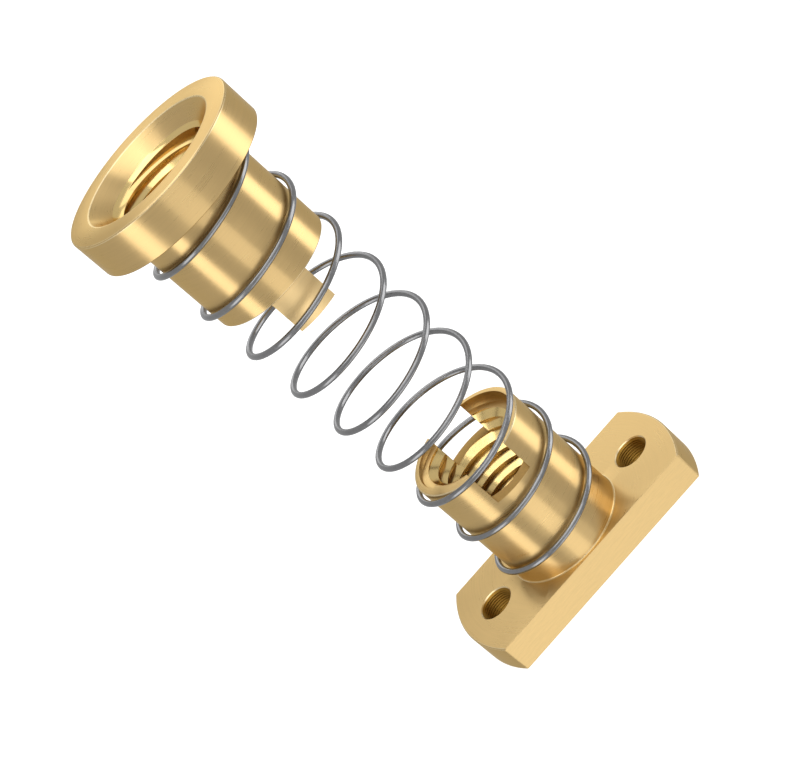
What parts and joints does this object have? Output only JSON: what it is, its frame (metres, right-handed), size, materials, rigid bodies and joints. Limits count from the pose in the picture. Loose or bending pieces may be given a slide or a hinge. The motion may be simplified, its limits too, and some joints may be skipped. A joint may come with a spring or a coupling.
{
  "type": "spring-loaded lead screw nut",
  "caption": "Brass lead screw nut: a flanged nut with flats and tapped holes, a follower nut with tongues, and a compression spring that presses them apart.",
  "frame": {"origin": "centre of the flange's underside, on the screw's axis", "axes": "+Z along the screw's axis from the flange to the follower nut, +X through the two mounting holes, Y square to the flange's flats and through the slots"},
  "size_m": [0.0227, 0.0154, 0.0479],
  "materials": {
    "brass": "satin turned",
    "spring_steel": "drawn wire"
  },
  "bodies": {
    "flange_nut": {"flange_nut": "brass", "spring": "spring_steel"},
    "follower_nut": {"follower_nut": "brass"}
  },
  "joints": [
    {"name": "follower_slide", "type": "slide", "parent": "flange_nut", "child": "follower_nut", "axis": [0, 0, 1], "range_m": [-0.0208, 0], "stiffness_N_per_m": 50, "deforming": ["spring"]}
  ]
}
